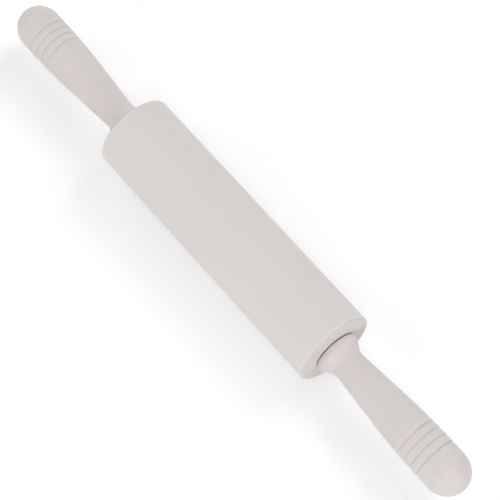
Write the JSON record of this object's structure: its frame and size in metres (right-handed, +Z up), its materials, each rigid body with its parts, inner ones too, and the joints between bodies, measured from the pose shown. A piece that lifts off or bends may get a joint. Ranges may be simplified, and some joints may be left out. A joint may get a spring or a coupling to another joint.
{
  "type": "rolling pin",
  "caption": "Silicone-covered rolling pin: a smooth round barrel that spins on an axle between two tapered handles with flared collars, ring grooves and domed ends.",
  "frame": {"origin": "on the worktop, under the middle of the barrel, where the barrel's lowest line touches", "axes": "+X along the pin's axis towards the right handle, +Z up from the worktop, +Y across the pin"},
  "size_m": [0.4336, 0.053, 0.053],
  "materials": {
    "silicone": "matte silicone, warm pale grey",
    "handle": "matte moulded polypropylene, warm pale grey",
    "core": "plain moulded polypropylene",
    "bearing": "smooth acetal",
    "steel": "drawn steel rod",
    "zinc": "zinc-plated steel"
  },
  "bodies": {
    "barrel": {"silicone_sleeve": "silicone", "core_tube": "core", "left_end_plug": "core", "right_end_plug": "core", "left_axle_bush": "bearing", "right_axle_bush": "bearing"},
    "handles": {"axle": "steel", "left_thrust_washer": "bearing", "right_thrust_washer": "bearing", "left_handle": "handle", "right_handle": "handle", "left_handle_cap": "handle", "right_handle_cap": "handle", "left_nut_washer": "zinc", "right_nut_washer": "zinc", "left_axle_nut": "zinc", "right_axle_nut": "zinc"}
  },
  "joints": [
    {"name": "barrel_spin", "type": "hinge", "parent": "barrel", "child": "handles", "pos_m": [0, 0, 0.0265], "axis": [1, 0, 0], "continuous": true}
  ]
}
